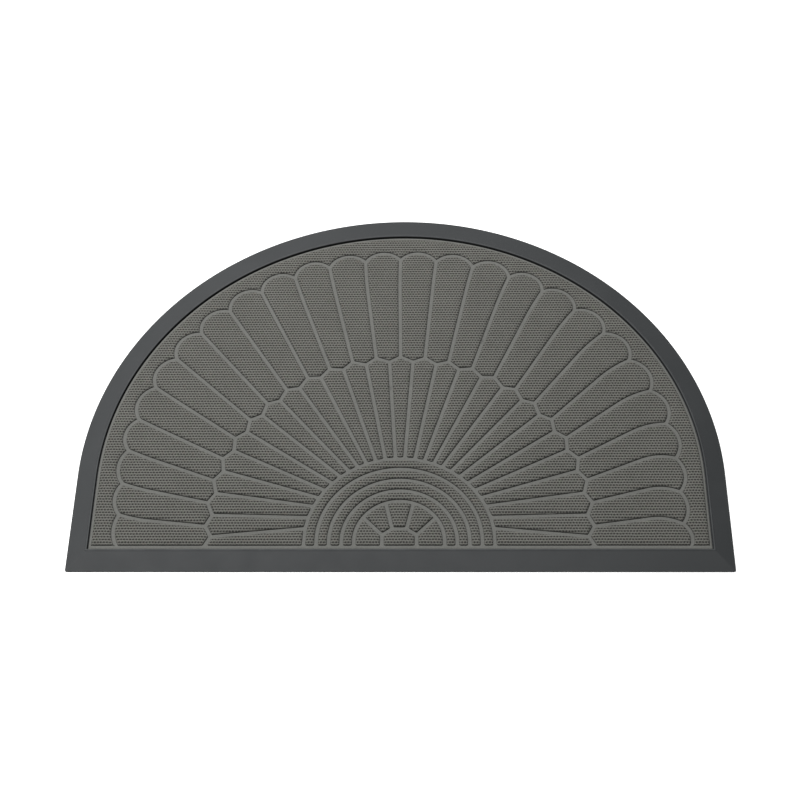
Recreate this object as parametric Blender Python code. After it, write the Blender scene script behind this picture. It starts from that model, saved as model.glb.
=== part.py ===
"""Half-round entrance mat: a moulded rubber tray and the embossed felt cloth set in it.

The straight edge faces -Y and the round edge +Y. The origin is on the floor, under the middle of the mat.
Lengths in the tables and the named sizes are millimetres, and they turn into metres with MM.
"""

import math
from collections import namedtuple

import bmesh
import bpy
from mathutils import Vector

MM = 0.001

# Outline of the mat: straight sides, then a half circle
WIDTH = 900.0
DEPTH = 600.0

# Heights above the floor
EDGE_HEIGHT = 1.8
LIP_FOOT = 7.2
LIP_CREST = 7.6
RECESS_FLOOR = 2.0
REST_GAP = 0.3

# Thicknesses of the cloth: its base, its raised pads above that, and how far the pads reach into the base
CLOTH_BASE = 2.2
RELIEF = 2.6
PAD_ROOT = 1.0

# Border of the tray, from the outline to the inner wall
BORDER_SIDE = 27.5
BORDER_FRONT = 31.2
BORDER_BACK = 33.5
EDGE_ROUND = 1.0
LIP_WIDTH = 2.6
LIP_RISE = 1.0
LIP_ROUND = 0.8
OUTER_CORNER = 3.0
INNER_CORNER = 0.9

# Cloth and the strip that runs round its raised pads, wider along the front
EDGE_GAP = 1.5
PERIMETER_STRIP = 3.0
FRONT_STRIP = 5.0
GROOVE = 5.0
PAD_CORNER = 2.4

# A line of the fan: a half circle of this radius on straight sides, its centre this far from the front
Arch = namedtuple("Arch", "radius centre")
OUTLINE = Arch(WIDTH / 2, DEPTH - WIDTH / 2)
WALL = Arch(WIDTH / 2 - BORDER_SIDE, DEPTH - BORDER_BACK - (WIDTH / 2 - BORDER_SIDE))
CLOTH_EDGE = Arch(WALL.radius - EDGE_GAP, WALL.centre)
PAD_EDGE = Arch(CLOTH_EDGE.radius - PERIMETER_STRIP, WALL.centre)
SCALLOPS = Arch(388.0, 139.0)
RING_PEAKS = Arch(265.0, 81.0)
RING_NOTCHES = Arch(256.5, 81.0)
RAINBOW = (
    Arch(129.5, 44.5),
    Arch(112.5, 44.5),
    Arch(95.5, 44.0),
    Arch(78.5, 44.0),
    Arch(61.5, 44.5),
)
CLOTH_FRONT = BORDER_FRONT + EDGE_GAP
PAD_FRONT = CLOTH_FRONT + FRONT_STRIP
FRONT_LINE = PAD_FRONT - GROOVE / 2

# The fan from its middle to one end. Row k has the outer groove k and the petal and the ray that follow it.
# valley: place of the groove along the scalloped edge. rise: height of the petal's round end.
# sink, lean: how far the valley lies inside the scalloped edge's arch, and how far it slips clockwise.
# peak, notch: places of the corners of the zig-zag ring.
# shoulder, back: how far the groove bends near its valley, right and left of the middle.
# foot: place of the inner groove along the first arch.
FanRow = namedtuple("FanRow", "valley rise sink lean shoulder back peak notch foot")
FAN = (
    FanRow(0.0, 14.7, 4.7, -3.0, 1.0, 1.0, 0.0, 17.0, 6.5),
    FanRow(54.0, 16.1, 4.4, -2.5, 0.5, 2.0, 35.5, 51.0, 20.5),
    FanRow(110.0, 18.3, 3.0, -2.0, 1.0, 1.0, 70.5, 85.0, 34.0),
    FanRow(166.5, 18.7, 3.0, -0.5, 2.0, 1.0, 106.0, 120.0, 47.5),
    FanRow(222.5, 18.2, 3.0, -0.5, 2.5, 0.5, 141.0, 155.0, 60.5),
    FanRow(280.5, 17.2, 3.0, 0.0, 3.0, 0.0, 177.0, 189.5, 74.5),
    FanRow(338.0, 16.2, 3.0, 1.0, 5.0, 0.0, 212.5, 224.0, 89.0),
    FanRow(395.5, 14.7, 3.0, 2.5, 7.0, 0.0, 248.5, 258.5, 104.0),
    FanRow(453.5, 14.2, 3.0, 4.0, 8.5, 0.5, 284.5, 293.5, 119.0),
    FanRow(512.0, 12.2, 3.0, 4.5, 10.0, 0.5, 321.0, 329.0, 133.0),
    FanRow(567.0, 10.2, 3.0, 7.0, 13.0, 1.5, 357.5, 365.0, 148.0),
    FanRow(621.0, 8.7, 3.0, 7.0, 12.5, 2.5, 393.5, 399.5, 166.5),
    FanRow(670.5, 6.2, 3.0, 7.5, 12.0, 4.0, 430.0, 432.5, 184.0),
)
# Share of a groove's way at which it bends, and how far the last petals end to the right on the front line
SHOULDER_AT = 0.83
END_SLIP = 5.0
# Share of a backward lean that reaches the zig-zag ring
RING_LEAN = 0.4

# Hub under the arches: corner points of its middle cell, and the angles of its grooves at the arch
HUB_SHOULDER = (23.5, 53.7)
HUB_TOP = (9.8, 63.2)
SPOKE_ANGLES = (36.0, 72.0)

# Number of steps in the round lines
BORDER_STEPS = 64
CAP_STEPS = 6
ARCH_STEPS = 16
HUB_STEPS = 4
BEND_STEPS = 3

# A round corner's middle point keeps this share of its radius from each side
DIAGONAL = 1.0 - math.sqrt(0.5)
# Corners of a pad that turn less than this many degrees stay as they are
LEAST_TURN = 25.0
# A corner's cut takes at most this share of the side next to it
LONGEST_CUT = 0.45
# A mitred corner moves at most the distance divided by this
MITRE_LIMIT = 0.3
WELD_DISTANCE = 0.00001


def clear_scene():
    for obj in list(bpy.data.objects):
        bpy.data.objects.remove(obj, do_unlink=True)


def new_collection(name):
    collection = bpy.data.collections.new(name)
    bpy.context.scene.collection.children.link(collection)
    return collection


def new_material(name, colour, roughness):
    material = bpy.data.materials.new(name)
    material.use_nodes = True
    shader = material.node_tree.nodes["Principled BSDF"]
    shader.inputs["Base Color"].default_value = (*colour, 1.0)
    shader.inputs["Roughness"].default_value = roughness
    shader.inputs["Metallic"].default_value = 0.0
    return material


def mirrored(points):
    """The points from left to right, in reverse order, so that a closed line keeps its direction."""
    return [Vector((-point.x, point.y)) for point in reversed(points)]


def circle_point(arch, angle):
    """Point of an arch's half circle, at an angle from its right end."""
    return Vector((arch.radius * math.cos(angle), arch.centre + arch.radius * math.sin(angle)))


def arch_length(arch):
    """Length of an arch line from its crown to the fan's front line."""
    return arch.radius * math.pi / 2 + arch.centre - FRONT_LINE


def arch_point(arch, along, side):
    """Point of an arch line at a distance from its crown. Side is 1 to the right and -1 to the left."""
    quarter = arch.radius * math.pi / 2
    if along > quarter:
        return Vector((side * arch.radius, arch.centre - (along - quarter)))
    return circle_point(arch, math.pi / 2 - side * along / arch.radius)


def arch_line(arch, side, steps):
    """Points of half an arch line, from its crown to the front line."""
    return [arch_point(arch, arch_length(arch) * step / steps, side) for step in range(steps + 1)]


def arch_outline(arch, front, steps, corner=0.0):
    """Closed outline, anticlockwise from the front right corner, with the half circle as its back."""
    right = [Vector((arch.radius, front + corner))]
    if corner:
        cut = corner * DIAGONAL
        right.insert(0, Vector((arch.radius - cut, front + cut)))
        right.insert(0, Vector((arch.radius - corner, front)))
    back = [circle_point(arch, math.pi * step / steps) for step in range(steps + 1)]
    return right + back + mirrored(right)


def arc_between(start, end, rise, steps):
    """Circular arc from start to end, bulging to the left of that direction by rise."""
    half = (end - start).length / 2
    radius = (half * half + rise * rise) / (2 * rise)
    along = (end - start).normalized()
    outward = Vector((-along.y, along.x))
    middle = (start + end) / 2 - outward * (radius - rise)
    spread = math.asin(half / radius)
    points = []
    for step in range(steps + 1):
        angle = spread * (2 * step / steps - 1)
        points.append(middle + outward * radius * math.cos(angle) + along * radius * math.sin(angle))
    return points


def bent_line(start, end, shoulder):
    """Straight groove that bends near its end. Shoulder is the corner's offset, left of the way."""
    way = end - start
    corner = start + way * SHOULDER_AT + Vector((-way.y, way.x)).normalized() * shoulder
    reach = (end - corner).length / (corner - start).length
    begin = corner + (start - corner) * reach
    points = [start]
    for step in range(BEND_STEPS + 1):
        t = step / BEND_STEPS
        points.append(begin * (1 - t) ** 2 + corner * 2 * t * (1 - t) + end * t * t)
    return points


def inset(points, distance):
    """The closed anticlockwise outline moved inwards, with its corners mitred."""
    moved = []
    for index, point in enumerate(points):
        before = (point - points[index - 1]).normalized()
        after = (points[(index + 1) % len(points)] - point).normalized()
        normal = Vector((-before.y - after.y, before.x + after.x)).normalized()
        cosine = normal.dot(Vector((-after.y, after.x)))
        moved.append(point + normal * distance / max(cosine, MITRE_LIMIT))
    return moved


def round_corners(points, radius):
    """The closed outline with each sharp corner cut back to two points."""
    rounded = []
    for index, point in enumerate(points):
        back = points[index - 1] - point
        ahead = points[(index + 1) % len(points)] - point
        turn = math.pi - back.angle(ahead)
        if math.degrees(turn) < LEAST_TURN:
            rounded.append(point)
            continue
        cut = min(radius * math.tan(turn / 2), LONGEST_CUT * back.length, LONGEST_CUT * ahead.length)
        rounded += [point + back.normalized() * cut, point + ahead.normalized() * cut]
    return rounded


def valley(index, side):
    """Junction of outer groove and scalloped edge. Valleys lean clockwise on both sides."""
    if index == len(FAN):
        return arch_point(SCALLOPS, arch_length(SCALLOPS), side) + Vector((END_SLIP, 0.0))
    point = arch_point(SCALLOPS, FAN[index].valley + side * FAN[index].lean, side)
    middle = Vector((0.0, min(point.y, SCALLOPS.centre)))
    return point + (middle - point).normalized() * FAN[index].sink


def ring_peak(index, side):
    """Outer corner of the zig-zag ring, where outer groove and ray of this number meet."""
    if index == len(FAN):
        return arch_point(RING_PEAKS, arch_length(RING_PEAKS), side)
    slip = min(FAN[index].lean, 0.0) * RING_LEAN
    return arch_point(RING_PEAKS, FAN[index].peak + side * slip, side)


def ring_notch(index, side):
    """Inner corner of the zig-zag ring, under the petal of this number."""
    return arch_point(RING_NOTCHES, FAN[index].notch, side)


def ray_foot(index, side):
    """End of an inner groove on the first arch."""
    if index == len(FAN):
        return arch_point(RAINBOW[0], arch_length(RAINBOW[0]), side)
    return arch_point(RAINBOW[0], FAN[index].foot, side)


def outer_groove(index, side):
    """Line from the zig-zag ring out to the scalloped edge."""
    start = ring_peak(index, side)
    end = valley(index, side)
    if index == len(FAN):
        return [start, end]
    shoulder = FAN[index].shoulder if side > 0 else FAN[index].back
    return bent_line(start, end, shoulder) if shoulder else [start, end]


def scallop(index, side):
    """Round end of a petal, from its valley nearer the middle of the fan to the next one."""
    start = valley(index, side)
    end = valley(index + 1, side)
    if side > 0:
        return arc_between(start, end, FAN[index].rise, CAP_STEPS)
    return arc_between(end, start, FAN[index].rise, CAP_STEPS)[::-1]


def petal_outline(index, side):
    """Centre lines of the grooves round a petal."""
    near = outer_groove(index, side)
    far = outer_groove(index + 1, side)
    return near + scallop(index, side)[1:-1] + far[::-1] + [ring_notch(index, side)]


def ray_outline(index, side):
    """Centre lines of the grooves round a ray, which points at the ring peak of the same number."""
    return [
        ring_notch(index - 1, side),
        ring_peak(index, side),
        ring_notch(index, side),
        ray_foot(index, side),
        ray_foot(index - 1, side),
    ]


def middle_ray_outline():
    return [ring_peak(0, 1), ring_notch(0, 1), ray_foot(0, 1), ray_foot(0, -1), ring_notch(0, -1)]


def last_ray_outline(side):
    """The half ray that lies along the front line."""
    last = len(FAN)
    ring = [ring_notch(last - 1, side), ring_peak(last, side)]
    return ring + [ray_foot(last, side), ray_foot(last - 1, side)]


def scalloped_edge():
    """The whole scalloped line, from the right end of the front line over the top to the left end."""
    line = []
    for index in reversed(range(len(FAN))):
        line += scallop(index, 1)[::-1][:-1]
    for index in range(len(FAN)):
        line += scallop(index, -1)[:-1]
    line.append(valley(len(FAN), -1))
    return line


def half_ring_outline(outer, inner):
    """Closed line of the cloth between two arches that end on the front line."""
    there = arch_line(outer, 1, ARCH_STEPS)[::-1] + arch_line(outer, -1, ARCH_STEPS)[1:]
    back = arch_line(inner, -1, ARCH_STEPS)[::-1] + arch_line(inner, 1, ARCH_STEPS)[1:]
    return there + back


def hub_arc(first, last):
    """Points of the innermost arch between two angles, in degrees from the right."""
    angles = [first + (last - first) * step / HUB_STEPS for step in range(HUB_STEPS + 1)]
    return [circle_point(RAINBOW[-1], math.radians(angle)) for angle in angles]


def hub_outlines():
    """Closed lines of the six cells inside the innermost arch, anticlockwise."""
    low, high = SPOKE_ANGLES
    shoulder, top = Vector(HUB_SHOULDER), Vector(HUB_TOP)
    foot = Vector((shoulder.x, FRONT_LINE))
    edge = Vector((RAINBOW[-1].radius, FRONT_LINE))
    lower_cell = [foot, edge] + hub_arc(0.0, low) + [shoulder]
    upper_cell = [shoulder] + hub_arc(low, high) + [top]
    crown_cell = [top] + hub_arc(high, 180.0 - high) + mirrored([top])
    middle_cell = [foot, shoulder, top] + mirrored([foot, shoulder, top])
    return [lower_cell, upper_cell, mirrored(lower_cell), mirrored(upper_cell), crown_cell, middle_cell]


def is_anticlockwise(points):
    return sum(points[index - 1].cross(points[index]) for index in range(len(points))) > 0


def pad_from(outline):
    """Outline of the raised pad inside the grooves' centre lines."""
    points = outline if is_anticlockwise(outline) else outline[::-1]
    return round_corners(inset(points, GROOVE / 2), PAD_CORNER)


def band_pad():
    """Outline of the pad between the border and the scalloped edge."""
    inner = inset(scalloped_edge(), -GROOVE / 2)
    inner[0].y = PAD_FRONT
    inner[-1].y = PAD_FRONT
    return arch_outline(PAD_EDGE, PAD_FRONT, BORDER_STEPS) + inner[::-1]


def pad_outlines():
    """Outlines of all the raised pads, in millimetres from the middle of the mat's front edge."""
    pads = [band_pad(), pad_from(middle_ray_outline())]
    for side in (1, -1):
        pads += [pad_from(petal_outline(index, side)) for index in range(len(FAN))]
        pads += [pad_from(ray_outline(index, side)) for index in range(1, len(FAN))]
        pads.append(pad_from(last_ray_outline(side)))
    pads += [pad_from(half_ring_outline(outer, inner)) for outer, inner in zip(RAINBOW, RAINBOW[1:])]
    pads += [pad_from(cell) for cell in hub_outlines()]
    return pads


def placed(points, height):
    """Points in millimetres from the front edge as places in metres round the mat's middle."""
    return [Vector((point.x * MM, (point.y - DEPTH / 2) * MM, height * MM)) for point in points]


def filled_curve(name, outlines, thickness):
    """2D curve object with each outline filled, as thick as the given millimetres."""
    curve = bpy.data.curves.new(name, "CURVE")
    curve.dimensions = "2D"
    curve.fill_mode = "BOTH"
    curve.extrude = thickness / 2 * MM
    for outline in outlines:
        spline = curve.splines.new("POLY")
        spline.points.add(len(outline) - 1)
        for target, point in zip(spline.points, placed(outline, 0.0)):
            target.co = (point.x, point.y, 0.0, 1.0)
        spline.use_cyclic_u = True
    return bpy.data.objects.new(name, curve)


def plate(name, outlines, low, high):
    """Flat pieces of the given outlines, filled and thickened between two heights, as one welded mesh."""
    guide = filled_curve(name + "_outline", outlines, high - low)
    guide.location.z = (high + low) / 2 * MM
    bpy.context.scene.collection.objects.link(guide)
    bpy.context.view_layer.update()
    mesh = bpy.data.meshes.new_from_object(guide.evaluated_get(bpy.context.evaluated_depsgraph_get()))
    matrix = guide.matrix_world.copy()
    bpy.data.objects.remove(guide, do_unlink=True)
    shape = bmesh.new()
    shape.from_mesh(mesh)
    bmesh.ops.remove_doubles(shape, verts=shape.verts, dist=WELD_DISTANCE)
    bmesh.ops.recalc_face_normals(shape, faces=shape.faces)
    shape.to_mesh(mesh)
    shape.free()
    mesh.name = name
    mesh.materials.clear()
    obj = bpy.data.objects.new(name, mesh)
    obj.matrix_world = matrix
    return obj


def border_section():
    """Rings of the tray from the floor up over the border and down into the recess.

    Each row is a share of the way from the outline to the inner wall, and a height.
    """
    lip = LIP_WIDTH / BORDER_SIDE
    rise = LIP_RISE / BORDER_SIDE
    rim = LIP_ROUND / BORDER_SIDE
    edge = EDGE_ROUND / BORDER_SIDE
    return (
        (0.0, 0.0),
        (0.0, EDGE_HEIGHT - EDGE_ROUND),
        (edge * DIAGONAL, EDGE_HEIGHT - EDGE_ROUND * DIAGONAL),
        (edge, EDGE_HEIGHT),
        (1.0 - lip, LIP_FOOT),
        (1.0 - lip + rise, LIP_CREST),
        (1.0 - rim, LIP_CREST),
        (1.0, LIP_CREST - LIP_ROUND),
        (1.0, RECESS_FLOOR),
    )


def between(outer, inner, share):
    return outer + (inner - outer) * share


def border_ring(share, height):
    """Closed ring of the tray, part of the way between the outline and the inner wall."""
    arch = Arch(between(OUTLINE.radius, WALL.radius, share), between(OUTLINE.centre, WALL.centre, share))
    corner = between(OUTER_CORNER, INNER_CORNER, share)
    return placed(arch_outline(arch, BORDER_FRONT * share, BORDER_STEPS, corner), height)


def build_tray(collection):
    """Rubber tray: a loft through the rings of its border section, closed underneath and over the recess."""
    shape = bmesh.new()
    rings = []
    for share, height in border_section():
        rings.append([shape.verts.new(point) for point in border_ring(share, height)])
    for lower, upper in zip(rings, rings[1:]):
        for index in range(len(lower)):
            shape.faces.new((lower[index - 1], lower[index], upper[index], upper[index - 1]))
    shape.faces.new(rings[0][::-1])
    shape.faces.new(rings[-1])
    bmesh.ops.recalc_face_normals(shape, faces=shape.faces)
    mesh = bpy.data.meshes.new("rubber_tray")
    shape.to_mesh(mesh)
    shape.free()
    mesh.materials.append(new_material("rubber", (0.050, 0.053, 0.056), 0.62))
    tray = bpy.data.objects.new("rubber_tray", mesh)
    collection.objects.link(tray)
    return tray


def build_cloth(collection, helpers):
    """Felt cloth: a flat base with every pad of the fan raised on it, joined into one piece."""
    base_low = RECESS_FLOOR + REST_GAP
    base_high = base_low + CLOTH_BASE
    outline = arch_outline(CLOTH_EDGE, CLOTH_FRONT, BORDER_STEPS)
    cloth = plate("cloth_inlay", [outline], base_low, base_high)
    pads = plate("raised_pads", pad_outlines(), base_high - PAD_ROOT, base_high + RELIEF)
    collection.objects.link(cloth)
    helpers.objects.link(pads)
    pads.hide_render = True
    pads.display_type = "WIRE"
    join = cloth.modifiers.new("raise_pads", "BOOLEAN")
    join.operation = "UNION"
    join.solver = "EXACT"
    join.object = pads
    felt = new_material("felt", (0.130, 0.128, 0.118), 0.95)
    cloth.data.materials.append(felt)
    pads.data.materials.append(felt)
    return cloth


def main():
    clear_scene()
    collection = new_collection("entrance_mat")
    helpers = new_collection("helpers")
    build_tray(collection)
    build_cloth(collection, helpers)


if __name__ == "__main__":
    main()
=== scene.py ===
"""Half-round entrance mat: the embossed felt inlay and its moulded rubber tray, dressed for a studio picture.

Sizes are millimetres unless a name or a comment says otherwise, and they turn into metres with MM. The
pattern is laid out from the middle of the mat's front edge, and placed() moves it to the frame's origin.
"""

import logging
import math
from collections.abc import Callable, Iterable, Mapping, Sequence
from dataclasses import dataclass, field
from enum import Enum
from typing import NamedTuple

import bmesh
import bpy
import numpy as np
from mathutils import Matrix, Vector, noise
from mathutils.geometry import delaunay_2d_cdt
from mathutils.kdtree import KDTree


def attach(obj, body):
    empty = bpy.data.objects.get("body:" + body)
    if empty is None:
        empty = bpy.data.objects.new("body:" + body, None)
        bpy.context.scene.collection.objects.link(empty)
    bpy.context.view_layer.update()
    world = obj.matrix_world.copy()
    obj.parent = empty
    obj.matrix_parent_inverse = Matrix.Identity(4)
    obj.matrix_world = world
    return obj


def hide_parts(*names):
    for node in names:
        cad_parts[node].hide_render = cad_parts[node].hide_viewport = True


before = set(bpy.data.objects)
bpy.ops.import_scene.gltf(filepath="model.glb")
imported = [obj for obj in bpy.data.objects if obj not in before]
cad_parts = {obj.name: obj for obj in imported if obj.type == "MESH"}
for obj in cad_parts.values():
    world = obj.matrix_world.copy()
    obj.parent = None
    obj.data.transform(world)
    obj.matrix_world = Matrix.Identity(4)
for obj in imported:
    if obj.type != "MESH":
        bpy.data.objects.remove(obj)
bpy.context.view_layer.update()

MM = 0.001
MAT_DEPTH = 600.0
LOG = logging.getLogger("entrance_mat")
INSET_SAMPLES = 0.3
INSET_SLACK = 0.98
MITRE_LIMIT = 0.3
CORNER_STEPS = 6
LEAST_TURN_DEG = 25.0
TURN_STEP_DEG = 30.0
LONGEST_CUT = 0.45

Colour = tuple[float, float, float]
Line = list[Vector]


class Side(Enum):
    """Half of the mat, as the sign of its x."""

    RIGHT = 1
    LEFT = -1


class Slot(Enum):
    """Material slots of the record."""

    RUBBER = "rubber"
    FELT = "felt"


# Shader graphs


@dataclass(frozen=True)
class Value:
    """A number that changes over a surface: one socket of a shader graph.

    Sums, differences, products and quotients of values, or of a value and a number, add their Math nodes.
    """

    graph: "ShaderGraph"
    socket: bpy.types.NodeSocket

    def math(self, operation: str, *others: "Value | float") -> "Value":
        """Adds a Math node on this value and the others."""
        return self.graph.math(operation, self, *others)

    def __add__(self, other: "Value | float") -> "Value":
        """This value plus another."""
        return self.math("ADD", other)

    def __sub__(self, other: "Value | float") -> "Value":
        """This value minus another."""
        return self.math("SUBTRACT", other)

    def __mul__(self, other: "Value | float") -> "Value":
        """This value times another."""
        return self.math("MULTIPLY", other)

    def __truediv__(self, other: "Value | float") -> "Value":
        """This value over another."""
        return self.math("DIVIDE", other)

    def __radd__(self, other: float) -> "Value":
        """A number plus this value."""
        return self.math("ADD", other)

    def __rsub__(self, other: float) -> "Value":
        """A number minus this value."""
        return self.graph.math("SUBTRACT", other, self)

    def ramp(self, low: float, high: float) -> "Value":
        """Smooth step of this value.

        Args:
            low: Value at which the step is 0.
            high: Value at which the step is 1. It may be the smaller one.

        Returns:
            The step, from 0 to 1.
        """
        settings = {"interpolation_type": "SMOOTHSTEP"}
        sockets = {"Value": self, "From Min": low, "From Max": high}
        return self.graph.value(self.graph.node("MapRange", settings, sockets))


Input = Value | bpy.types.NodeSocket | float | tuple[float, ...]


class ShaderGraph:
    """The node tree of one material, with its Principled shader."""

    def __init__(self, name: str) -> None:
        """Starts a material of this name.

        Args:
            name: Name of the material.
        """
        self.material = bpy.data.materials.new(name)
        self.material.use_nodes = True
        self.tree = self.material.node_tree
        self.shader = self.tree.nodes["Principled BSDF"]

    def plug(self, socket: bpy.types.NodeSocket, given: Input) -> None:
        """Sets a socket to a number or colour, or links a value to it.

        Args:
            socket: Input socket of a node.
            given: Number, colour, value or output socket.
        """
        if isinstance(given, Value):
            self.tree.links.new(given.socket, socket)
        elif isinstance(given, bpy.types.NodeSocket):
            self.tree.links.new(given, socket)
        elif socket.type == "RGBA":
            socket.default_value = (*given, 1.0)
        else:
            socket.default_value = given

    def node(
        self, kind: str, settings: Mapping[str, object], sockets: Mapping[str | int, Input]
    ) -> bpy.types.Node:
        """Adds any node.

        Args:
            kind: Type of the node, without ShaderNode.
            settings: Its settings, set first. The key "stops" holds a ramp's (place, colour) pairs.
            sockets: Values or links of its sockets, by name or number.

        Returns:
            The node.
        """
        made = self.tree.nodes.new("ShaderNode" + kind)
        for name, setting in settings.items():
            if name != "stops":
                setattr(made, name, setting)
                continue
            ramp = made.color_ramp.elements
            while len(ramp) < len(setting):
                ramp.new(1.0)
            for element, (place, colour) in zip(ramp, setting):
                element.position = place
                element.color = (*colour, 1.0)
        for name, given in sockets.items():
            self.plug(made.inputs[name], given)
        return made

    def value(self, node: bpy.types.Node, output: str | int = 0) -> Value:
        """Wraps an output socket of a node."""
        return Value(self, node.outputs[output])

    def math(self, operation: str, *operands: Value | float) -> Value:
        """Adds a Math node.

        Args:
            operation: The node's operation.
            operands: Its inputs, in order.

        Returns:
            Its result.
        """
        sockets = dict(enumerate(operands))
        return self.value(self.node("Math", {"operation": operation}, sockets))

    def place(self) -> tuple[Value, Value, Value]:
        """Coordinates of the surface in millimetres, as x, y and z of the mat's frame."""
        split = self.node("SeparateXYZ", {}, {"Vector": self.millimetres()})
        return self.value(split, "X"), self.value(split, "Y"), self.value(split, "Z")

    def millimetres(self) -> bpy.types.NodeSocket:
        """Place on the surface, as the output socket of a vector in millimetres."""
        sockets = {0: self.node("TexCoord", {}, {}).outputs["Object"], "Scale": 1.0 / MM}
        return self.node("VectorMath", {"operation": "SCALE"}, sockets).outputs[0]

    def cloud(self, size: float, detail: float = 2.0, stretch: Colour = (1.0, 1.0, 1.0)) -> Value:
        """Noise over the surface, from 0 to 1 with its mean at 0.5.

        Args:
            size: Size of its spots, in millimetres.
            detail: Octaves of finer noise.
            stretch: Factors on x, y and z before the noise.

        Returns:
            The noise.
        """
        sockets = {0: self.millimetres(), 1: stretch}
        placed_at = self.node("VectorMath", {"operation": "MULTIPLY"}, sockets).outputs[0]
        sockets = {"Vector": placed_at, "Scale": 1.0 / size, "Detail": detail}
        return self.value(self.node("TexNoise", {}, sockets), 0)

    def mix(self, factor: Input, first: Input, second: Input, blend: str = "MIX") -> bpy.types.NodeSocket:
        """Mixes two colours.

        Args:
            factor: Share of the second colour.
            first: The first colour.
            second: The second colour.
            blend: Blend type of the Mix node.

        Returns:
            The mixed colour's socket.
        """
        settings = {"data_type": "RGBA", "blend_type": blend}
        return self.node("Mix", settings, {0: factor, 6: first, 7: second}).outputs[2]

    def grey(self, value: Value) -> bpy.types.NodeSocket:
        """A value as a grey colour, to multiply another colour with."""
        return self.node("CombineColor", {}, {0: value, 1: value, 2: value}).outputs[0]

    def dress(self, sockets: Mapping[str, Input]) -> None:
        """Sets or links sockets of the Principled shader."""
        for name, given in sockets.items():
            self.plug(self.shader.inputs[name], given)

    def bump(self, height: Value, depth: float) -> bpy.types.NodeSocket:
        """Bump from a height between 0 and 1 that stands for this many millimetres."""
        sockets = {"Strength": 1.0, "Distance": depth * MM, "Height": height}
        return self.node("Bump", {}, sockets).outputs[0]


# Finishes


@dataclass(frozen=True)
class DimpleGrid:
    """Rows of dimples in the felt's pads, every second row shifted by half a pitch.

    Half width and half length are where a pit's painted shade has nearly faded, along x and along y.
    """

    pitch: float = 4.15
    row_pitch: float = 4.2
    depth: float = 0.7
    half_width: float = 2.65
    half_length: float = 1.95
    wander_size: float = 9.0
    ragged_size: float = 1.7
    raggedness: float = 0.9

    def depth_at(self, column: int, row: int) -> float:
        """Depth below the pad at a point of the half-pitch grid, which has a pit in every fourth place."""
        pit_column = 0 if (row // 2) % 2 == 1 else 1
        return self.depth if row % 2 == 1 and column % 2 == pit_column else 0.0

    def pit_mask(self, graph: ShaderGraph) -> Value:
        """Mask of the pits, with ragged edges.

        Args:
            graph: Graph of the material.

        Returns:
            1 in the middle of a pit, 0 between pits.
        """
        x, y, _ = graph.place()
        wander = graph.cloud(self.wander_size) - 0.5
        ragged = graph.cloud(self.ragged_size, 3.0, (1.3, 0.9, 1.0)) - 0.5
        rows = y / self.row_pitch + wander * 0.12
        row = rows.math("FLOOR")
        shift = row.math("FLOORED_MODULO", 2.0) * 0.5
        columns = x / self.pitch + shift + wander * 0.2
        from_middle_x = (columns.math("FRACT") - 0.5) * (self.pitch / self.half_width)
        from_middle_y = (rows.math("FRACT") - 0.5) * (self.row_pitch / self.half_length)
        reach = (from_middle_x * from_middle_x + from_middle_y * from_middle_y).math("SQRT")
        return (reach + ragged * self.raggedness).ramp(1.12, 0.22)


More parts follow.
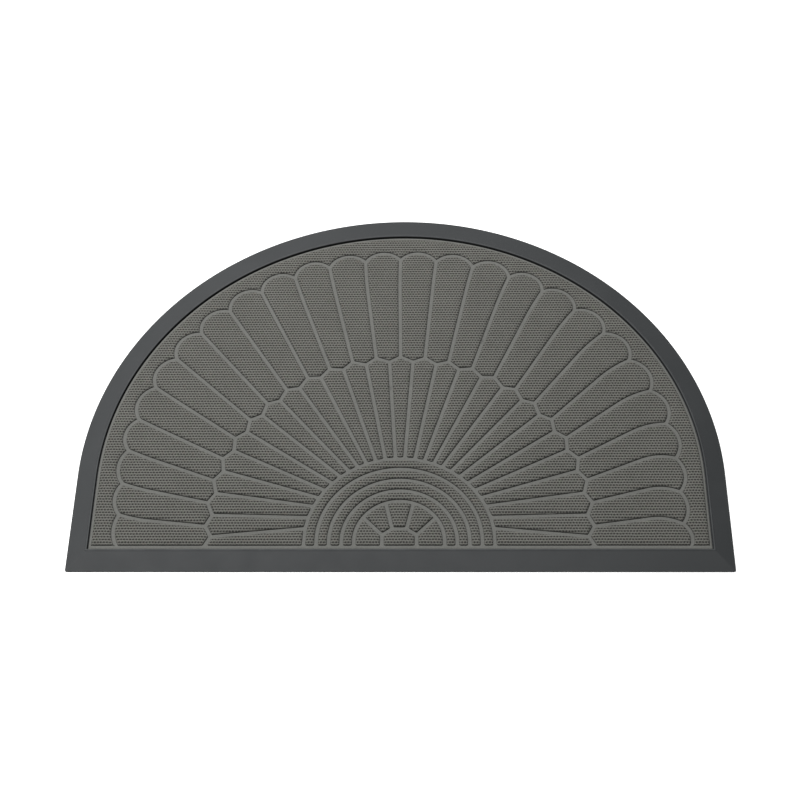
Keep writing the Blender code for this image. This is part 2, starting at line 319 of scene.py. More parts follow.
@dataclass(frozen=True)
class FeltFinish:
    """Grey needle felt: dimpled pads, smoother where the grooves are pressed in.

    Pit and wall shades are painted shade, darkening the colour in a pit and on a pad's steep wall. Sizes are
    those of the noise's spots.
    """

    dimples: DimpleGrid
    pad_colour: Colour = (0.154, 0.153, 0.140)
    groove_colour: Colour = (0.137, 0.138, 0.129)
    pit_painted_shade: float = 0.15
    wall_painted_shade: float = 0.28
    floor_height: float = 4.5
    relief: float = 2.6
    tint_size: float = 7.0
    tint_stops: tuple[tuple[float, Colour], ...] = (
        (0.30, (0.96, 1.01, 0.93)),
        (0.44, (1.00, 1.00, 1.00)),
        (0.56, (1.00, 1.00, 1.00)),
        (0.70, (1.04, 0.99, 0.96)),
    )
    speckle_size: float = 1.1
    grit_size: float = 2.4
    mottle_size: float = 45.0
    fuzz_size: float = 0.55
    fuzz_depth: float = 0.35

    def material(self) -> bpy.types.Material:
        """Builds the felt.

        Returns:
            The felt's material.
        """
        graph = ShaderGraph("pressed_needle_felt")
        _, _, height = graph.place()
        pad = height.ramp(self.floor_height + 0.6, self.floor_height + self.relief * 0.6)
        # The pit mask drives both the dimples' bump and the painted shade that darkens the colour in each
        # dimple.
        pit = self.dimples.pit_mask(graph) * pad
        # Painted shade on the pads' steep walls: steeper faces get a darker colour, as if in shade.
        facing = graph.node("NewGeometry", {}, {}).outputs["True Normal"]
        upright = graph.value(graph.node("SeparateXYZ", {}, {"Vector": facing}), "Z")
        wall = upright.ramp(0.985, 0.50) * height.ramp(self.floor_height - 0.3, self.floor_height)
        spots = {"Fac": graph.cloud(self.tint_size, 3.0)}
        tint = graph.node("ValToRGB", {"stops": self.tint_stops}, spots).outputs[0]
        speckle = 0.70 + graph.cloud(self.speckle_size, 2.0, (1.0, 1.35, 1.0)) * 0.60
        grit = 0.76 + graph.cloud(self.grit_size, 3.0) * 0.48
        mottle = 0.90 + graph.cloud(self.mottle_size, 2.0) * 0.20
        yarn = graph.mix(1.0, self.pad_colour, tint, "MULTIPLY")
        colour = graph.mix(pad, self.groove_colour, yarn)
        # Painted shade in the pits and on the walls, times the random tone of the yarn.
        shade = (1.0 - pit * (1.0 - self.pit_painted_shade)) * (1.0 - wall * (1.0 - self.wall_painted_shade))
        colour = graph.mix(1.0, colour, graph.grey(shade * speckle * grit * mottle), "MULTIPLY")
        fuzz = graph.cloud(self.fuzz_size, 4.0)
        relief = fuzz * 0.5 + (1.0 - pit) * 0.5
        sockets = {
            "Base Color": colour,
            "Roughness": 0.97,
            "Specular IOR Level": 0.15,
            "Sheen Weight": 0.08,
            "Sheen Roughness": 0.5,
            "Normal": graph.bump(relief, self.fuzz_depth),
        }
        graph.dress(sockets)
        return graph.material


@dataclass(frozen=True)
class RubberFinish:
    """Matt moulded rubber with a fine grain, a little dusty and paler along its edges: worn on the crest, and
    on the outer edge worn with painted bounce light from the floor.
    """

    colour: Colour = (0.0293, 0.0318, 0.0334)
    worn_and_bounce_lit_colour: Colour = (0.042, 0.045, 0.047)
    crest_height: float = 7.6
    edge_height: float = 1.8
    patch_size: float = 14.0
    dust_size: float = 120.0
    grain_size: float = 0.8
    ripple_size: float = 22.0
    sheen_size: float = 30.0
    grain_depth: float = 0.10

    def material(self) -> bpy.types.Material:
        """Builds the rubber.

        Returns:
            The rubber's material.
        """
        graph = ShaderGraph("moulded_rubber")
        _, _, height = graph.place()
        crest = height.ramp(self.crest_height - 0.5, self.crest_height)
        # Paler band round the outer round edge: partly wear, partly painted bounce light from the white
        # floor.
        near_edge = (height - self.edge_height).math("ABSOLUTE").ramp(0.5, 0.0)
        patches = graph.cloud(self.patch_size, 3.0).ramp(0.30, 0.75)
        wear_and_bounce_light = (crest * 0.8 + near_edge * 0.6) * patches
        dust = graph.cloud(self.dust_size, 4.0).ramp(0.35, 0.80) * 0.35
        colour = graph.mix((wear_and_bounce_light + dust).math("MINIMUM", 1.0), self.colour, self.worn_and_bounce_lit_colour)
        grain = graph.cloud(self.grain_size, 3.0)
        shade = 0.93 + grain * 0.14
        colour = graph.mix(1.0, colour, graph.grey(shade), "MULTIPLY")
        ripple = graph.cloud(self.ripple_size, 2.0)
        sockets = {
            "Base Color": colour,
            "Roughness": 0.56 + graph.cloud(self.sheen_size, 3.0) * 0.16,
            "Specular IOR Level": 0.35,
            "Normal": graph.bump(grain * 0.35 + ripple * 0.65, self.grain_depth),
        }
        graph.dress(sockets)
        return graph.material


@dataclass(frozen=True)
class FloorFinish:
    """White studio floor that glows a little, so that it stays pale far from the lights."""

    colour: Colour = (0.93, 0.93, 0.93)
    glow: float = 0.45

    def material(self) -> bpy.types.Material:
        """Builds the floor's paint.

        Returns:
            The floor's material.
        """
        graph = ShaderGraph("white_floor")
        shade = 0.985 + graph.cloud(400.0, 2.0) * 0.03
        colour = graph.mix(1.0, self.colour, graph.grey(shade), "MULTIPLY")
        sockets = {
            "Base Color": colour,
            "Roughness": 0.9,
            "Specular IOR Level": 0.1,
            "Emission Color": (1.0, 1.0, 1.0),
            "Emission Strength": self.glow,
        }
        graph.dress(sockets)
        return graph.material


# Lines of the pattern


def mirrored(points: Sequence[Vector]) -> Line:
    """The points from left to right, in reverse order, so that a closed line keeps its direction."""
    return [Vector((-point.x, point.y)) for point in reversed(points)]


def placed(point: Vector, height: float) -> Vector:
    """A point of the pattern at a height, as a place in metres in the mat's frame."""
    return Vector((point.x * MM, (point.y - MAT_DEPTH / 2) * MM, height * MM))


@dataclass(frozen=True)
class Arch:
    """A line of the mat: a half circle on straight sides.

    The centre is the half circle's, as its distance from the mat's front edge.
    """

    radius: float
    centre: float

    @property
    def quarter(self) -> float:
        """Length of a quarter of the circle."""
        return self.radius * math.pi / 2

    def circle_point(self, angle: float) -> Vector:
        """Point of the half circle, at an angle from its right end."""
        return Vector((self.radius * math.cos(angle), self.centre + self.radius * math.sin(angle)))

    def end(self, front: float, side: Side) -> Vector:
        """Point where one side meets a front line."""
        return Vector((side.value * self.radius, front))

    def point(self, along: float, side: Side) -> Vector:
        """Point at a distance from the crown, on one side.

        Args:
            along: Distance from the crown along the line.
            side: Half of the mat.

        Returns:
            The point.
        """
        if along > self.quarter:
            return Vector((side.value * self.radius, self.centre - (along - self.quarter)))
        return self.circle_point(math.pi / 2 - side.value * along / self.radius)

    def line(self, side: Side, front: float, steps: int) -> Line:
        """Points of one half, from the crown round to the straight side and down to a front line."""
        arc = [self.point(self.quarter * step / steps, side) for step in range(steps + 1)]
        return arc + [self.end(front, side)]

    def outline(self, front: float, steps: int, corner: float = 0.0) -> Line:
        """Closed outline, anticlockwise from its front right corner.

        Args:
            front: Distance of its straight edge from the mat's front edge.
            steps: Steps of the half circle.
            corner: Radius of its two front corners.

        Returns:
            The outline's points.
        """
        right = [Vector((self.radius, front))]
        if corner:
            angles = [math.pi / 2 * step / CORNER_STEPS for step in range(CORNER_STEPS + 1)]
            middle = Vector((self.radius - corner, front + corner))
            right = [middle + Vector((math.sin(a), -math.cos(a))) * corner for a in angles]
        back = [self.circle_point(math.pi * step / steps) for step in range(steps + 1)]
        return right + back + mirrored(right)


def arc_between(start: Vector, end: Vector, rise: float, steps: int) -> Line:
    """Circular arc between two points, bulging to the left of their direction by rise.

    Args:
        start: First point.
        end: Last point.
        rise: Height of the bulge over the straight line.
        steps: Steps of the arc.

    Returns:
        The arc's points.
    """
    half = (end - start).length / 2
    radius = (half * half + rise * rise) / (2 * rise)
    along = (end - start).normalized()
    outward = Vector((-along.y, along.x))
    middle = (start + end) / 2 - outward * (radius - rise)
    spread = math.asin(half / radius)
    angles = [spread * (2 * step / steps - 1) for step in range(steps + 1)]
    return [middle + (outward * math.cos(a) + along * math.sin(a)) * radius for a in angles]


def bezier(start: Vector, middle: Vector, end: Vector, steps: int) -> Line:
    """Smooth bend from start to end, drawn towards the middle point."""
    shares = [step / steps for step in range(steps + 1)]
    return [start * (1 - t) ** 2 + middle * 2 * t * (1 - t) + end * t * t for t in shares]


def bent_line(start: Vector, end: Vector, shoulder: float, bend_at: float, steps: int) -> Line:
    """Straight groove that bends near its end.

    Args:
        start: First point.
        end: Last point.
        shoulder: Offset of the bend's corner, to the left of the way.
        bend_at: Share of the way at which it bends.
        steps: Steps of the bend.

    Returns:
        The groove's points.
    """
    way = end - start
    corner = start + way * bend_at + Vector((-way.y, way.x)).normalized() * shoulder
    reach = (end - corner).length / (corner - start).length
    return [start] + bezier(corner + (start - corner) * reach, corner, end, steps)


def spaced(points: Sequence[Vector], longest: float) -> Line:
    """The closed outline with its longer sides divided into steps of at most the longest length.

    Args:
        points: The outline's points.
        longest: Longest step, in millimetres.

    Returns:
        The points with those between them.
    """
    line = []
    for index, point in enumerate(points):
        ahead = points[(index + 1) % len(points)]
        steps = max(1, math.ceil((ahead - point).length / longest))
        line += [point.lerp(ahead, step / steps) for step in range(steps)]
    return line


def edge_tree(lines: Iterable[Sequence[Vector]], step: float) -> KDTree:
    """Close points along closed lines, to measure distances from them.

    Args:
        lines: The closed lines.
        step: Longest step between the tree's points.

    Returns:
        Tree of the points.
    """
    samples = [point for line in lines for point in spaced(line, step)]
    tree = KDTree(len(samples))
    for index, point in enumerate(samples):
        tree.insert(point.to_3d(), index)
    tree.balance()
    return tree


def distance_to(tree: KDTree, point: Vector) -> float:
    """Distance of a point from the nearest line of a tree."""
    return tree.find(point.to_3d())[2]


def inset(points: Sequence[Vector], distance: float) -> Line:
    """The closed anticlockwise outline moved inwards, with mitred corners and no loops at tight ones.

    Args:
        points: The outline's points.
        distance: How far it moves in, or out where it is below zero.

    Returns:
        Points of the moved outline.
    """
    tree = edge_tree([points], INSET_SAMPLES)
    moved = []
    for index, point in enumerate(points):
        before = (point - points[index - 1]).normalized()
        after = (points[(index + 1) % len(points)] - point).normalized()
        normal = Vector((-before.y - after.y, before.x + after.x)).normalized()
        cosine = normal.dot(Vector((-after.y, after.x)))
        shifted = point + normal * distance / max(cosine, MITRE_LIMIT)
        if distance_to(tree, shifted) > INSET_SLACK * abs(distance):
            moved.append(shifted)
    return moved


def rounded(points: Sequence[Vector], radius_at: Callable[[Vector], float]) -> Line:
    """The closed outline with each corner that turns by the least turn or more made round.

    Args:
        points: The outline's points.
        radius_at: Radius of the corner at a point.

    Returns:
        Points of the outline with round corners.
    """
    smooth = []
    for index, point in enumerate(points):
        back = points[index - 1] - point
        ahead = points[(index + 1) % len(points)] - point
        turn = math.pi - back.angle(ahead)
        if math.degrees(turn) < LEAST_TURN_DEG:
            smooth.append(point)
            continue
        cut = min(
            radius_at(point) * math.tan(turn / 2), LONGEST_CUT * back.length, LONGEST_CUT * ahead.length
        )
        steps = 2 + round(math.degrees(turn) / TURN_STEP_DEG)
        smooth += bezier(point + back.normalized() * cut, point, point + ahead.normalized() * cut, steps)
    return smooth


def anticlockwise(points: Line) -> Line:
    """The closed line, turned round if it runs clockwise."""
    area = sum(points[index - 1].cross(points[index]) for index in range(len(points)))
    return points if area > 0 else points[::-1]


class FanRow(NamedTuple):
    """A groove of the fan, with the petal and the ray that follow it towards an end."""

    valley: float
    rise: float
    sink: float
    lean: float
    shoulder: float
    back: float
    peak: float
    notch: float
    foot: float


@dataclass(frozen=True)
class FanPattern:
    """Half-round fan of petals and rays over four arches and a hub, as outlines of raised pads.

    The rows run from the fan's middle to one end. Valley is the place of the outer groove along the
    scalloped edge, rise the height of the petal's round end, sink how far the valley lies inside the
    scallops' arch, and lean how far it slips clockwise.
    Shoulder and back are how far the groove bends near its valley, right and left of the middle. Peak and
    notch are the places of the corners of the zig-zag ring, and foot that of the inner groove along the
    first arch.
    """

    rows: tuple[FanRow, ...] = (
        FanRow(0.0, 14.7, 4.7, -3.0, 1.0, 1.0, 0.0, 17.0, 6.5),
        FanRow(54.0, 16.1, 4.4, -2.5, 0.5, 2.0, 35.5, 51.0, 20.5),
        FanRow(110.0, 18.3, 3.0, -2.0, 1.0, 1.0, 70.5, 85.0, 34.0),
        FanRow(166.5, 18.7, 3.0, -0.5, 2.0, 1.0, 106.0, 120.0, 47.5),
        FanRow(222.5, 18.2, 3.0, -0.5, 2.5, 0.5, 141.0, 155.0, 60.5),
        FanRow(280.5, 17.2, 3.0, 0.0, 3.0, 0.0, 177.0, 189.5, 74.5),
        FanRow(338.0, 16.2, 3.0, 1.0, 5.0, 0.0, 212.5, 224.0, 89.0),
        FanRow(395.5, 14.7, 3.0, 2.5, 7.0, 0.0, 248.5, 258.5, 104.0),
        FanRow(453.5, 14.2, 3.0, 4.0, 8.5, 0.5, 284.5, 293.5, 119.0),
        FanRow(512.0, 12.2, 3.0, 4.5, 10.0, 0.5, 321.0, 329.0, 133.0),
        FanRow(567.0, 10.2, 3.0, 7.0, 13.0, 1.5, 357.5, 365.0, 148.0),
        FanRow(621.0, 8.7, 3.0, 7.0, 12.5, 2.5, 393.5, 399.5, 166.5),
        FanRow(670.5, 6.2, 3.0, 7.5, 12.0, 4.0, 430.0, 432.5, 184.0),
    )
    cloth_edge: Arch = Arch(421.0, 144.0)
    pad_edge: Arch = Arch(418.0, 144.0)
    scallops: Arch = Arch(388.0, 139.0)
    ring_peaks: Arch = Arch(265.0, 81.0)
    ring_notches: Arch = Arch(256.5, 81.0)
    arches: tuple[Arch, ...] = (
        Arch(129.5, 44.5),
        Arch(112.5, 44.5),
        Arch(95.5, 44.0),
        Arch(78.5, 44.0),
        Arch(61.5, 44.5),
    )
    cloth_front: float = 32.7
    pad_front: float = 37.7
    groove: float = 5.0
    pad_corner: float = 2.6
    petal_corner: float = 5.5
    shoulder_at: float = 0.83
    end_slip: float = 5.0
    ring_lean: float = 0.4
    hub_shoulder: tuple[float, float] = (23.5, 53.7)
    hub_top: tuple[float, float] = (9.8, 63.2)
    spoke_angles: tuple[float, float] = (36.0, 72.0)
    cap_steps: int = 14
    bend_steps: int = 8
    arch_steps: int = 64
    edge_steps: int = 256
    hub_steps: int = 8

    @property
    def front(self) -> float:
        """Place of the groove along the pads' front, as the centre line that the fan ends on."""
        return self.pad_front - self.groove / 2

    def valley(self, index: int, side: Side) -> Vector:
        """Junction of outer groove and scalloped edge. Valleys lean clockwise on both sides.

        Args:
            index: Number of the outer groove.
            side: Half of the mat.

        Returns:
            The junction.
        """
        if index == len(self.rows):
            return self.scallops.end(self.front, side) + Vector((self.end_slip, 0.0))
        row = self.rows[index]
        point = self.scallops.point(row.valley + side.value * row.lean, side)
        middle = Vector((0.0, min(point.y, self.scallops.centre)))
        return point + (middle - point).normalized() * row.sink

    def ring_peak(self, index: int, side: Side) -> Vector:
        """Outer corner of the zig-zag ring, where outer groove and ray of this number meet.

        Args:
            index: Number of the outer groove.
            side: Half of the mat.

        Returns:
            The corner.
        """
        if index == len(self.rows):
            return self.ring_peaks.end(self.front, side)
        slip = min(self.rows[index].lean, 0.0) * self.ring_lean
        return self.ring_peaks.point(self.rows[index].peak + side.value * slip, side)

    def ring_notch(self, index: int, side: Side) -> Vector:
        """Inner corner of the zig-zag ring, under the petal of this number."""
        return self.ring_notches.point(self.rows[index].notch, side)

    def ray_foot(self, index: int, side: Side) -> Vector:
        """End of an inner groove on the first arch.

        Args:
            index: Number of the inner groove.
            side: Half of the mat.

        Returns:
            The groove's end.
        """
        if index == len(self.rows):
            return self.arches[0].end(self.front, side)
        return self.arches[0].point(self.rows[index].foot, side)

    def outer_groove(self, index: int, side: Side) -> Line:
        """Line from the zig-zag ring out to the scalloped edge.

        Args:
            index: Number of the groove.
            side: Half of the mat.

        Returns:
            Points of the groove's centre line.
        """
        start = self.ring_peak(index, side)
        end = self.valley(index, side)
        if index == len(self.rows):
            return [start, end]
        shoulder = self.rows[index].shoulder if side is Side.RIGHT else self.rows[index].back
        if not shoulder:
            return [start, end]
        return bent_line(start, end, shoulder, self.shoulder_at, self.bend_steps)

    def scallop(self, index: int, side: Side) -> Line:
        """Round end of a petal, from its valley nearer the middle of the fan to the next one.

        Args:
            index: Number of the petal.
            side: Half of the mat.

        Returns:
            Points of the scallop's centre line.
        """
        start = self.valley(index, side)
        end = self.valley(index + 1, side)
        rise = self.rows[index].rise
        if side is Side.RIGHT:
            return arc_between(start, end, rise, self.cap_steps)
        return arc_between(end, start, rise, self.cap_steps)[::-1]

    def petal(self, index: int, side: Side) -> Line:
        """Centre lines of the grooves round a petal.

        Args:
            index: Number of the petal.
            side: Half of the mat.

        Returns:
            Points of the closed line.
        """
        near = self.outer_groove(index, side)
        far = self.outer_groove(index + 1, side)
        return near + self.scallop(index, side)[1:-1] + far[::-1] + [self.ring_notch(index, side)]

    def ray(self, index: int, side: Side) -> Line:
        """Centre lines of the grooves round a ray, which points at the ring peak of the same number.

        Args:
            index: Number of the ray.
            side: Half of the mat.

        Returns:
            Points of the closed line.
        """
        ring = [self.ring_notch(index - 1, side), self.ring_peak(index, side)]
        feet = [self.ray_foot(index, side), self.ray_foot(index - 1, side)]
        if index == len(self.rows):
            return ring + feet
        return ring + [self.ring_notch(index, side)] + feet

    def middle_ray(self) -> Line:
        """Centre lines of the grooves round the ray in the middle."""
        right = [self.ray_foot(0, Side.RIGHT), self.ring_notch(0, Side.RIGHT)]
        return right + [self.ring_peak(0, Side.RIGHT)] + mirrored(right)

    def scalloped_edge(self) -> Line:
        """The whole scalloped line, from the right end of the front line over the top to the left end.

        Returns:
            Points of the line.
        """
        line = []
        for index in reversed(range(len(self.rows))):
            line += self.scallop(index, Side.RIGHT)[::-1][:-1]
        for index in range(len(self.rows)):
            line += self.scallop(index, Side.LEFT)[:-1]
        return line + [self.valley(len(self.rows), Side.LEFT)]

    def half_ring(self, outer: Arch, inner: Arch) -> Line:
        """Closed line of the felt between two arches that end on the front line.

        Args:
            outer: The outer arch.
            inner: The inner arch.

        Returns:
            Points of the closed line.
        """
        over = []
        for arch in (outer, inner):
            right, left = (arch.line(side, self.front, self.arch_steps) for side in Side)
            over.append(right[::-1] + left[1:])
        return over[0] + over[1][::-1]

    def hub_arc(self, first: float, last: float) -> Line:
        """Points of the innermost arch between two angles, in degrees from the right."""
        angles = [first + (last - first) * step / self.hub_steps for step in range(self.hub_steps + 1)]
        return [self.arches[-1].circle_point(math.radians(angle)) for angle in angles]

    def hub_cells(self) -> list[Line]:
        """Closed lines of the six cells inside the innermost arch.

        Returns:
            The cells' lines.
        """
        low, high = self.spoke_angles
        shoulder, top = Vector(self.hub_shoulder), Vector(self.hub_top)
        foot = Vector((shoulder.x, self.front))
        edge = Vector((self.arches[-1].radius, self.front))
        lower = [foot, edge] + self.hub_arc(0.0, low) + [shoulder]
        upper = [shoulder] + self.hub_arc(low, high) + [top]
        crown = [top] + self.hub_arc(high, 180.0 - high) + mirrored([top])
        middle = [foot, shoulder, top] + mirrored([foot, shoulder, top])
        return [lower, upper, mirrored(lower), mirrored(upper), crown, middle]

    def corner_radius(self, point: Vector) -> float:
        """Radius of a pad's corner, larger at the petals' round ends.

        Args:
            point: Corner of a pad.

        Returns:
            The radius.
        """
        reach = (point - Vector((0.0, self.scallops.centre))).length
        halfway = (self.scallops.radius + self.ring_peaks.radius) / 2
        return self.petal_corner if reach > halfway else self.pad_corner

    def pad(self, grooves: Line) -> Line:
        """Outline of the raised pad inside the grooves' centre lines."""
        return rounded(inset(anticlockwise(grooves), self.groove / 2), self.corner_radius)

    def band(self) -> Line:
        """Outline of the pad between the border and the scalloped edge.

        Returns:
            Points of the outline.
        """
        inner = inset(self.scalloped_edge(), -self.groove / 2)
        inner = [point for point in inner if point.y > self.pad_front + 0.5]
        ends = [self.valley(len(self.rows), side).x + side.value * self.groove / 2 for side in Side]
        inner = [Vector((ends[0], self.pad_front)), *inner, Vector((ends[1], self.pad_front))]
        return self.pad_edge.outline(self.pad_front, self.edge_steps) + inner[::-1]

    def pads(self) -> list[Line]:
        """Outlines of all the raised pads, anticlockwise.

        Returns:
            The outlines.
        """
        pads = [self.band(), self.pad(self.middle_ray())]
        for side in Side:
            pads += [self.pad(self.petal(index, side)) for index in range(len(self.rows))]
            pads += [self.pad(self.ray(index, side)) for index in range(1, len(self.rows) + 1)]
        pads += [self.pad(self.half_ring(*pair)) for pair in zip(self.arches, self.arches[1:])]
        pads += [self.pad(cell) for cell in self.hub_cells()]
        return pads

    def outline(self) -> Line:
        """Outline of the whole felt inlay, anticlockwise."""
        return self.cloth_edge.outline(self.cloth_front, self.edge_steps)


# Pieces


def finished(name: str, mesh: bpy.types.Mesh, material: bpy.types.Material, sharp: float) -> bpy.types.Object:
    """Links a smooth-shaded mesh as a piece.

    Args:
        name: Name of the piece.
        mesh: Its mesh.
        material: Its material.
        sharp: Degrees between faces from which an edge stays sharp.

    Returns:
        The piece.
    """
    mesh.shade_smooth()
    mesh.set_sharp_from_angle(angle=math.radians(sharp))
    mesh.materials.append(material)
    piece = bpy.data.objects.new(name, mesh)
    bpy.context.scene.collection.objects.link(piece)
    return piece


@dataclass
class FeltInlay:
    """The embossed felt: a flat base with every pad of the fan raised on it, dimpled on top."""

    pattern: FanPattern = field(default_factory=FanPattern)
    dimples: DimpleGrid = field(default_factory=DimpleGrid)
    underside: float = 2.3
    floor_height: float = 4.5
    relief: float = 2.6
    edge_drop: float = 0.35
    edge_inset: float = 0.6
    outline_step: float = 4.0
    shoulder: tuple[tuple[float, float], ...] = (
        (0.0, 0.0),
        (0.3, 0.42),
        (1.4, 0.68),
        (3.2, 0.93),
        (5.0, 1.0),
    )
    ring_offsets: tuple[float, ...] = (0.3, 1.4)
    least_gap: float = 0.85
    dimple_margin: float = 2.1
    edge_step: float = 0.6
    merge_distance: float = 1e-4
    sharp: float = 58.0
    unevenness: float = 0.16
    unevenness_size: float = 55.0
    points: list[Vector] = field(default_factory=list)
    heights: list[float] = field(default_factory=list)
    sides: list[tuple[int, int]] = field(default_factory=list)

    def sway(self, point: Vector) -> float:
        """Slow rise and fall of the felt, in millimetres."""
        at = Vector((point.x / self.unevenness_size, point.y / self.unevenness_size, 0.0))
        return self.unevenness * noise.noise(at)

    def share(self, distance: float) -> float:
        """Share of the relief that a pad has reached at a distance from its edge."""
        distances, shares = zip(*self.shoulder)
        return float(np.interp(distance, distances, shares))

    def add_points(self, points: Sequence[Vector], height: float) -> None:
        """Adds points at one height above the floor of the grooves."""
        self.points += points
        self.heights += [self.floor_height + height + self.sway(point) for point in points]

    def add_outline(self, outline: Line, height: float) -> None:
        """Adds a closed line that the faces keep as their edges.

        Args:
            outline: Points of the line.
            height: Their height above the grooves' floor.
        """
        start, count = len(self.points), len(outline)
        self.add_points(outline, height)
        self.sides += [(start + index, start + (index + 1) % count) for index in range(count)]

    def add_shoulders(self, pads: Sequence[Line], edges: KDTree) -> None:
        """Adds the rings of points that round each pad's edge off.

        Args:
            pads: Outlines of the pads.
            edges: Tree of the pads' edges.
        """
        for offset in self.ring_offsets:
            for pad in pads:
                ring = inset(pad, offset)
                clear = [p for p in ring if distance_to(edges, p) > self.least_gap * offset]
                self.add_points(clear, self.relief * self.share(offset))

    def add_tops(self, pads: Sequence[Line], edges: KDTree) -> None:
        """Adds the grid of points on top of the pads, row by row, with a low point in each dimple.

        Args:
            pads: Outlines of the pads.
            edges: Tree of the pads' edges.
        """
        starts = np.array([point for pad in pads for point in pad])
        ends = np.array([point for pad in pads for point in pad[1:] + pad[:1]])
        step_x, step_y = self.dimples.pitch / 2, self.dimples.row_pitch / 2
        first = math.ceil((starts[:, 1].min() - MAT_DEPTH / 2) / step_y)
        last = math.floor((starts[:, 1].max() - MAT_DEPTH / 2) / step_y)
        for row in range(first, last + 1):
            y = row * step_y + MAT_DEPTH / 2
            crossing = (starts[:, 1] > y) != (ends[:, 1] > y)
            start, way = starts[crossing], ends[crossing] - starts[crossing]
            places = np.sort(start[:, 0] + way[:, 0] * (y - start[:, 1]) / way[:, 1])
            for left, right in zip(places[::2], places[1::2]):
                for column in range(math.ceil(left / step_x), math.floor(right / step_x) + 1):
                    point = Vector((column * step_x, y))
                    distance = distance_to(edges, point)
                    if distance > self.dimple_margin:
                        height = self.relief * self.share(distance) - self.dimples.depth_at(column, row)
                        self.add_points([point], height)

    def strip_line(self) -> Line:
        """Points along the middle of the narrow strip in front of the pads.

        Returns:
            The points from left to right.
        """
        half = self.pattern.pad_edge.radius
        count = round(2 * half / self.outline_step)
        y = (self.pattern.pad_front + self.pattern.cloth_front + self.edge_inset) / 2
        return [Vector((half * (2 * index / count - 1), y)) for index in range(count + 1)]

    def top(self) -> tuple[list[Vector], list[list[int]], list[int]]:
        """Triangulates the felt's upper side.

        Returns:
            Its points in metres, its faces, and the points of its outer edge in order.
        """
        pads = [spaced(pad, self.outline_step) for pad in self.pattern.pads()]
        edges = edge_tree(pads, self.edge_step)
        outline = spaced(self.pattern.outline(), self.outline_step)
        self.add_outline(outline, -self.edge_drop)
        self.add_points(inset(outline, self.edge_inset), 0.0)
        self.add_points(self.strip_line(), 0.0)
        for pad in pads:
            self.add_outline(pad, 0.0)
        self.add_shoulders(pads, edges)
        self.add_tops(pads, edges)
        flat, _, faces, origins, _, _ = delaunay_2d_cdt(
            self.points, self.sides, [], 1, self.merge_distance
        )
        heights = [self.heights[origin[0]] if origin else self.floor_height for origin in origins]
        where = {origin: index for index, origins_here in enumerate(origins) for origin in origins_here}
        rim = [where[index] for index in range(len(outline))]
        return [placed(point, height) for point, height in zip(flat, heights)], faces, rim

    def mesh(self) -> bpy.types.Mesh:
        """The whole felt as one closed mesh.

        Returns:
            The mesh, with its base closed.
        """
        points, faces, rim = self.top()
        count = len(points)
        points += [Vector((points[index].x, points[index].y, self.underside * MM)) for index in rim]
        walls = []
        for step, index in enumerate(rim):
            after = (step + 1) % len(rim)
            walls.append([rim[after], index, count + step, count + after])
        under = [count + step for step in range(len(rim))][::-1]
        mesh = bpy.data.meshes.new("embossed_felt")
        mesh.from_pydata(points, [], list(faces) + walls + [under])
        mesh.validate()
        return mesh

    def build(self) -> bpy.types.Object:
        """Makes the felt, dresses it and sets it in the frame.

        Returns:
            The felt's object.
        """
        finish = FeltFinish(self.dimples, floor_height=self.floor_height, relief=self.relief)
        felt = finished("embossed_felt", self.mesh(), finish.material(), self.sharp)
        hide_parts("cloth_inlay")
        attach(felt, "root")
        edge = self.pattern.cloth_edge
        width = 2 * edge.radius
        depth = edge.centre + edge.radius - self.pattern.cloth_front
        area = math.pi / 2 * edge.radius**2 + width * (edge.centre - self.pattern.cloth_front)
        width * MM
        depth * MM
        area * MM * MM
        return felt


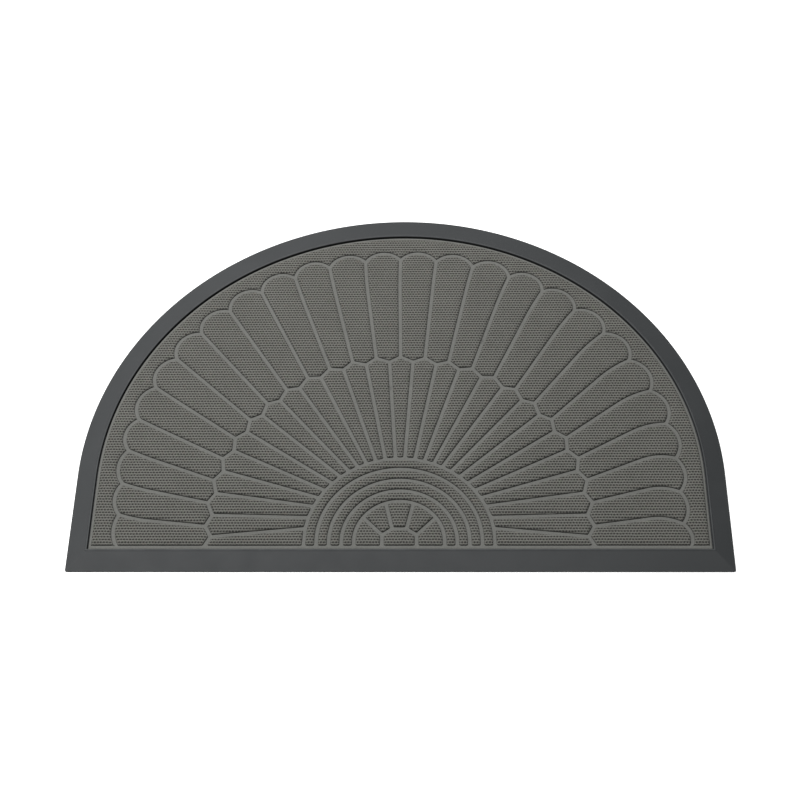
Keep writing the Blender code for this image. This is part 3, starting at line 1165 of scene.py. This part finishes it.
@dataclass
class RubberTray:
    """The moulded tray: a bevelled border with a small bead round a recess for the felt."""

    outer: Arch = Arch(450.0, 150.0)
    inner: Arch = Arch(422.5, 144.0)
    border: float = 27.5
    border_front: float = 31.2
    edge_height: float = 1.8
    edge_round: float = 1.0
    lip_foot: float = 7.2
    lip_crest: float = 7.6
    lip_width: float = 2.6
    lip_rise: float = 1.0
    lip_round: float = 0.8
    recess_floor: float = 2.0
    outer_corner: float = 3.0
    inner_corner: float = 0.9
    round_steps: int = 6
    arc_steps: int = 256
    sharp: float = 50.0

    def round_edge(self, *points: tuple[float, float]) -> Line:
        """Round edge of the section, from its start, its sharp corner and its end."""
        return bezier(*(Vector(point) for point in points), self.round_steps)

    def section(self) -> Line:
        """Section of the tray, from the floor over the border into the recess.

        Returns:
            Points whose x is the way in from the outline and whose y is the height.
        """
        wall, edge, top = self.border, self.edge_height, self.lip_crest
        foot = wall - self.lip_width
        crest = foot + self.lip_rise
        inner = self.lip_round + 0.2
        line = [Vector((0.0, 0.0))]
        line += self.round_edge((0.0, edge - self.edge_round), (0.0, edge), (self.edge_round, edge + 0.15))
        line += [Vector((foot - 0.5, self.lip_foot - 0.1))]
        line += self.round_edge((foot, self.lip_foot), (foot + 0.3, top), (crest + 0.2, top))
        line += self.round_edge((wall - inner, top), (wall, top), (wall, top - inner))
        return line + [Vector((wall, self.recess_floor))]

    def ring(self, way: float, height: float) -> Line:
        """Closed ring of the tray, part of the way from the outline to the inner wall.

        Args:
            way: Way in from the outline.
            height: Height above the floor.

        Returns:
            The ring's places in metres.
        """
        share = way / self.border
        arch = Arch(
            self.outer.radius + (self.inner.radius - self.outer.radius) * share,
            self.outer.centre + (self.inner.centre - self.outer.centre) * share,
        )
        corner = self.outer_corner + (self.inner_corner - self.outer_corner) * share
        outline = arch.outline(self.border_front * share, self.arc_steps, corner)
        return [placed(point, height) for point in outline]

    def mesh(self) -> bpy.types.Mesh:
        """Loft through the rings of the section, closed underneath and over the recess.

        Returns:
            The tray's mesh.
        """
        shape = bmesh.new()
        rings = [[shape.verts.new(p) for p in self.ring(at.x, at.y)] for at in self.section()]
        for lower, upper in zip(rings, rings[1:]):
            for index in range(len(lower)):
                shape.faces.new((lower[index - 1], lower[index], upper[index], upper[index - 1]))
        shape.faces.new(rings[0][::-1])
        shape.faces.new(rings[-1])
        bmesh.ops.recalc_face_normals(shape, faces=shape.faces)
        mesh = bpy.data.meshes.new("tray")
        shape.to_mesh(mesh)
        shape.free()
        return mesh

    def build(self) -> bpy.types.Object:
        """Makes the tray, dresses it and sets it in the frame.

        Returns:
            The tray's object.
        """
        finish = RubberFinish(crest_height=self.lip_crest, edge_height=self.edge_height)
        tray = finished("moulded_tray", self.mesh(), finish.material(), self.sharp)
        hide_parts("rubber_tray")
        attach(tray, "root")
        return tray


# Studio


class Lamp(NamedTuple):
    """A round soft light that points at the mat: its bearing is taken from behind the mat to the left."""

    name: str
    bearing: float
    elevation: float
    distance: float
    size: float
    power: float


@dataclass
class Studio:
    """White floor, soft lights mostly from behind on the left, a faint surround, and the camera.

    Lengths are in metres, but lens and sensor in millimetres, angles in degrees, powers in watts.
    """

    floor_size: float = 60.0
    lamps: tuple[Lamp, ...] = (
        Lamp("key", 25.0, 60.0, 2.9, 1.2, 80.0),
        Lamp("side", 90.0, 55.0, 2.9, 1.2, 19.0),
        Lamp("top", 60.0, 78.0, 2.9, 1.6, 27.0),
    )
    surround: float = 0.06
    target: tuple[float, float, float] = (-0.0013, -0.0256, 0.0)
    distance: float = 2.308
    elevation: float = 57.18
    yaw: float = 2.404
    roll: float = -2.158
    lens: float = 72.52
    sensor: float = 36.0
    farthest: float = 50.0

    def build_floor(self) -> bpy.types.Object:
        """Flat floor under the mat.

        Returns:
            The floor's object.
        """
        shape = bmesh.new()
        bmesh.ops.create_grid(shape, x_segments=8, y_segments=8, size=self.floor_size / 2)
        mesh = bpy.data.meshes.new("floor")
        shape.to_mesh(mesh)
        shape.free()
        floor = finished("floor", mesh, FloorFinish().material(), 30.0)
        return floor

    def light(self, lamp: Lamp) -> bpy.types.Object:
        """Hangs one lamp.

        Args:
            lamp: The lamp's place, size and power.

        Returns:
            The light's object.
        """
        bearing, elevation = math.radians(lamp.bearing), math.radians(lamp.elevation)
        level = Vector((-math.sin(bearing), math.cos(bearing), 0.0)) * math.cos(elevation)
        way = level + Vector((0.0, 0.0, math.sin(elevation)))
        disk = bpy.data.lights.new(lamp.name, "AREA")
        disk.shape = "DISK"
        disk.size = lamp.size
        disk.energy = lamp.power
        light = bpy.data.objects.new(lamp.name, disk)
        light.location = way * lamp.distance
        light.rotation_euler = way.to_track_quat("Z", "Y").to_euler()
        bpy.context.scene.collection.objects.link(light)
        return light

    def light_surround(self) -> bpy.types.World:
        """Even white light from all round.

        Returns:
            The world.
        """
        world = bpy.data.worlds.new("surround")
        world.use_nodes = True
        background = world.node_tree.nodes["Background"]
        background.inputs["Color"].default_value = (1.0, 1.0, 1.0, 1.0)
        background.inputs["Strength"].default_value = self.surround
        bpy.context.scene.world = world
        bpy.context.scene.view_settings.view_transform = "Standard"
        return world

    def place_camera(self) -> bpy.types.Object:
        """Camera above the front edge, looking down at the mat, turned and rolled a little.

        Returns:
            The camera's object.
        """
        elevation, yaw, roll = (math.radians(a) for a in (self.elevation, self.yaw, self.roll))
        flat = math.cos(elevation)
        ahead = Vector((-math.sin(yaw) * flat, math.cos(yaw) * flat, -math.sin(elevation)))
        level = Vector((math.cos(yaw), math.sin(yaw), 0.0))
        upward = level.cross(ahead)
        right = level * math.cos(roll) + upward * math.sin(roll)
        up = upward * math.cos(roll) - level * math.sin(roll)
        lens = bpy.data.cameras.new("camera")
        lens.lens = self.lens
        lens.sensor_width = self.sensor
        lens.clip_end = self.farthest
        camera = bpy.data.objects.new("camera", lens)
        place = Vector(self.target) - ahead * self.distance
        camera.matrix_world = Matrix.Translation(place) @ Matrix((right, up, -ahead)).transposed().to_4x4()
        bpy.context.scene.collection.objects.link(camera)
        bpy.context.scene.camera = camera
        return camera


def main() -> None:
    """Builds the mat and the studio."""
    logging.basicConfig(level=logging.INFO)
    for piece in (RubberTray().build(), FeltInlay().build()):
        mesh = piece.data
        mesh.calc_loop_triangles()
        LOG.info("%s: %d triangles", piece.name, len(mesh.loop_triangles))
    studio = Studio()
    lights = [studio.light(lamp) for lamp in studio.lamps]
    for thing in (studio.build_floor(), *lights, studio.light_surround(), studio.place_camera()):
        LOG.info("studio: %s", thing.name)


if __name__ == "__main__":
    main()
